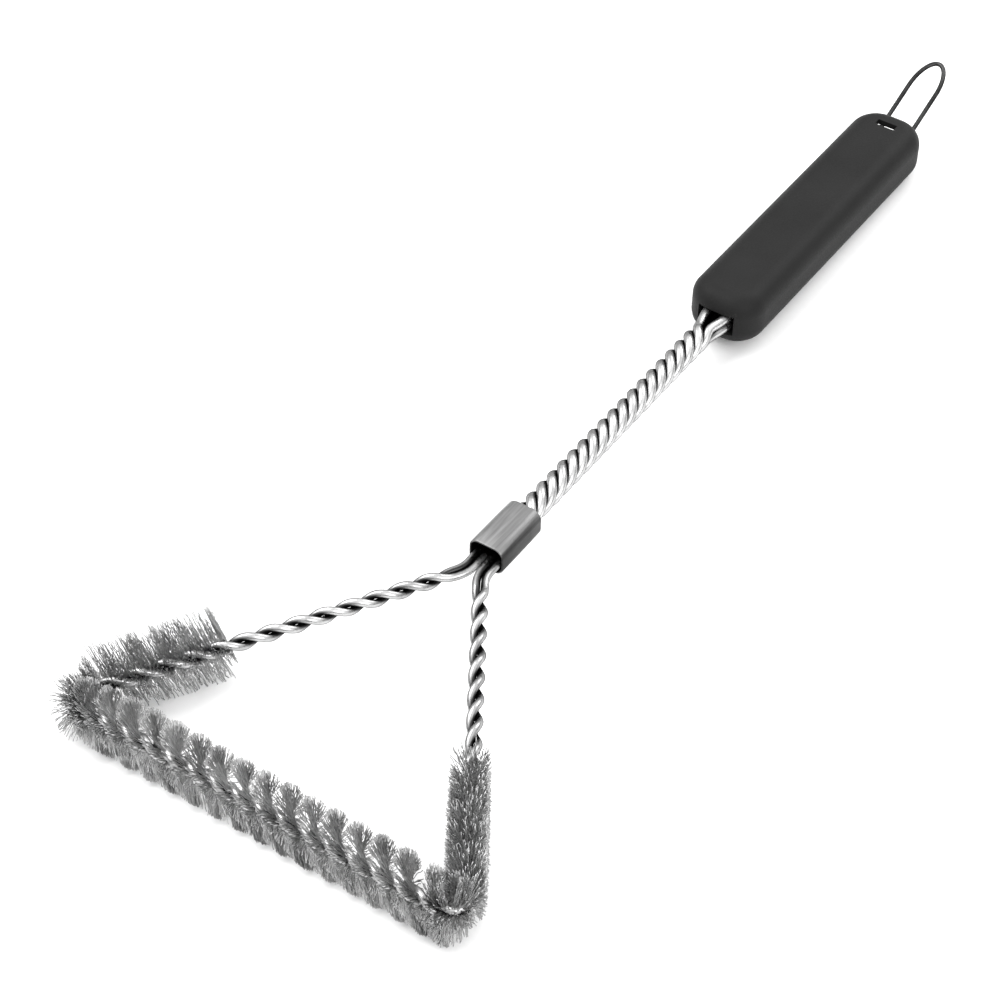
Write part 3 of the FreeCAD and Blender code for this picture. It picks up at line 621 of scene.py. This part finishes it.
def stem_strand(strand):
    """One strand of the stem, with painted shade between its neighbours."""
    points = strand_points(strand)
    vertices, faces = tube_mesh([points], STRAND / 2, WIRE_SIDES)
    along = np.arange(len(points)) * WIRE_STEP + STRAND_START
    axis = moved(np.stack([0 * along, along, 0 * along], axis=1), shaft_frame)
    crest = crest_values(vertices, axis, WIRE_SIDES, STRAND_RADIUS * STRAND_CREVICE,
                         STRAND_RADIUS + STRAND / 2)
    piece = new_piece("stem_strand_look_%d" % (strand + 1), vertices, faces, STEM_LOOK,
                      "brush", crest=crest)
    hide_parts("stem_strand_%d" % (strand + 1))


for strand in range(STRANDS):
    stem_strand(strand)

# ---- Ferrule ----------------------------------------------------------------------------------
LIP = 0.35 * MM                # length and depth of the turned-in lips
LIP_MIDDLE = 0.12 * MM         # the point between a lip's edge and its end
FLATNESS = 0.4                 # the height draws in by this share of what the width does
# Painted shade on the ferrule's narrow sides and inside.
SIDE_SHADE = 0.75                 # how dark the narrow sides are
SIDE_SHADE_FROM = 0.8             # the painted shade begins at this share of the half width
SIDE_SHADE_TO = 0.97              # and is full from here on
INSIDE_CREST = 0.1             # the inside is nearly as dark as can be
ROUND_STEPS = 8                # steps round each corner of the section


def rounded_ring(width, height, radius):
    """Points round a rounded rectangle in X and Z."""
    points = []
    for corner in range(4):
        cx = (width / 2 - radius) * (1 if corner in (0, 3) else -1)
        cz = (height / 2 - radius) * (1 if corner in (0, 1) else -1)
        for i in range(ROUND_STEPS + 1):
            a = math.pi / 2 * (corner + i / ROUND_STEPS)
            points.append((cx + radius * math.cos(a), cz + radius * math.sin(a)))
    return points


def ferrule_rings():
    """The sleeve's rings of points: along its outside, then back along its inside."""
    length = FERRULE_LENGTH
    # (distance from the mouth, how far the outside is drawn in): the stem's end is pressed on.
    stations = [(0.0, LIP), (LIP_MIDDLE, LIP_MIDDLE), (LIP, 0.0), (length * 0.35, 0.0),
                (length * 0.7, 0.05 * MM), (length - LIP, 0.15 * MM),
                (length - LIP_MIDDLE, 0.27 * MM), (length, 0.5 * MM)]
    outside, inside = [], []
    for y, inset in stations:
        ring = rounded_ring(FERRULE_WIDTH - 2 * inset, FERRULE_HEIGHT - 2 * inset * FLATNESS,
                            FERRULE_ROUNDING)
        outside.append([(px, y, pz) for px, pz in ring])
    for y, inset in reversed(stations):
        inner = FERRULE_WALL + (0 if LIP < y < length - LIP else -inset * FLATNESS)
        ring = rounded_ring(FERRULE_WIDTH - 2 * inner, FERRULE_HEIGHT - 2 * inner,
                            FERRULE_ROUNDING - inner)
        inside.append([(px, y, pz) for px, pz in ring])
    return outside, inside


def ferrule_piece():
    """The sleeve, with a turned-in lip at both ends and slightly pressed onto the stem."""
    outside, inside = ferrule_rings()
    rings = outside + inside
    count = len(rings[0])
    points = np.array([p for ring in rings for p in ring])
    # Painted shade on the narrow sides and the inside; the broad faces keep their full colour.
    across = np.abs(points[:, 0]) / (FERRULE_WIDTH / 2)
    is_outside = np.arange(len(points)) < len(outside) * count
    side_shade = SIDE_SHADE * smoothstep(SIDE_SHADE_FROM, SIDE_SHADE_TO, across)
    crest = np.where(is_outside, 1 - side_shade, INSIDE_CREST)
    faces = []
    for r in range(len(rings)):
        low, high = r * count, ((r + 1) % len(rings)) * count
        for i in range(count):
            j = (i + 1) % count
            faces.append((low + i, high + i, high + j, low + j))
    piece = new_piece("ferrule_sleeve", moved(points, shaft_frame), faces, FERRULE_LOOK, "brush",
                      sharp=50, crest=crest)
    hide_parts("ferrule")


ferrule_piece()

# ---- Handle and loop keep their CAD shapes ----------------------------------------------------
for node, look in (("handle", HANDLE_LOOK), ("hanging_loop", LOOP_LOOK)):
    for slot in frame["nodes"][node].material_slots:
        slot.material = look

# ---- Floor, light and camera ------------------------------------------------------------------
FLOOR_REACH = 15.0             # far enough that no view sees its edge
FLOOR_DROP = 0.0002            # just below the surface that the brush lies on
SKY_STRENGTH = 1.35
SKY_STOPS = [(0.0, 0.45), (0.25, 0.3), (0.6, 1.0)]    # (height of the direction, grey)
VIEW_AZIMUTH = 34.06           # degrees from the head's side, towards +X
VIEW_ELEVATION = 45.22
VIEW_DISTANCE = 1.0645
VIEW_TARGET = Vector((-0.0333, -0.0478, -0.0184))
SENSOR = 36                    # millimetres, as Blender counts a camera's sensor and lens
LENS = 97.2
CLIP_START = 0.05
CLIP_END = 20


def floor():
    """A wide sheet of nearly white paper."""
    r = FLOOR_REACH
    mesh = bpy.data.meshes.new("floor")
    mesh.from_pydata([(-r, -r, 0), (r, -r, 0), (r, r, 0), (-r, r, 0)], [], [(0, 1, 2, 3)])
    plane = bpy.data.objects.new("floor", mesh)
    bpy.context.scene.collection.objects.link(plane)
    plane.location.z = -FLOOR_DROP
    mat, nodes, links, shader = new_material("floor_paper", roughness=0.9)
    paper = noise(nodes, links, scale=300.0, detail=3.0)
    tint = ramp(nodes, links, paper.outputs["Fac"], [(0.3, 0.89), (0.7, 0.91)])
    links.new(tint.outputs["Color"], shader.inputs["Base Color"])
    shader.inputs["Specular IOR Level"].default_value = 0.1
    mesh.materials.append(mat)


def area_light(name, location, size, watts):
    """A round lamp that points at the origin."""
    light = bpy.data.lights.new(name, "AREA")
    light.shape = "DISK"
    light.size = size
    light.energy = watts
    lamp = bpy.data.objects.new(name, light)
    lamp.location = location
    lamp.rotation_mode = "QUATERNION"
    lamp.rotation_quaternion = (-Vector(location)).to_track_quat("-Z", "Y")
    bpy.context.scene.collection.objects.link(lamp)


def world():
    """Soft light from above, darker towards the horizon, so that steel has something to show."""
    scene_world = bpy.data.worlds.new("studio")
    bpy.context.scene.world = scene_world
    scene_world.use_nodes = True
    nodes, links = scene_world.node_tree.nodes, scene_world.node_tree.links
    coords = nodes.new("ShaderNodeTexCoord")
    split = nodes.new("ShaderNodeSeparateXYZ")
    links.new(coords.outputs["Generated"], split.inputs["Vector"])
    sky = ramp(nodes, links, split.outputs["Z"], SKY_STOPS)
    links.new(sky.outputs["Color"], nodes["Background"].inputs["Color"])
    nodes["Background"].inputs["Strength"].default_value = SKY_STRENGTH


def camera():
    """The viewing angle, distance and framing that the brush is seen from."""
    azimuth, elevation = math.radians(VIEW_AZIMUTH), math.radians(VIEW_ELEVATION)
    forward = Vector((-math.sin(azimuth) * math.cos(elevation),
                      math.cos(azimuth) * math.cos(elevation), -math.sin(elevation)))
    data = bpy.data.cameras.new("camera")
    data.sensor_width = SENSOR
    data.lens = LENS
    data.clip_start, data.clip_end = CLIP_START, CLIP_END
    cam = bpy.data.objects.new("camera", data)
    cam.location = VIEW_TARGET - forward * VIEW_DISTANCE
    cam.rotation_mode = "QUATERNION"
    cam.rotation_quaternion = forward.to_track_quat("-Z", "Y")
    bpy.context.scene.collection.objects.link(cam)
    bpy.context.scene.camera = cam


floor()
world()
area_light("key", location=(-0.9, -0.2, 1.4), size=1.4, watts=20)
area_light("fill", location=(1.2, -0.6, 0.9), size=1.2, watts=12)
area_light("back", location=(0.2, 1.3, 1.0), size=1.1, watts=9)
camera()
bpy.context.scene.view_settings.view_transform = "Standard"
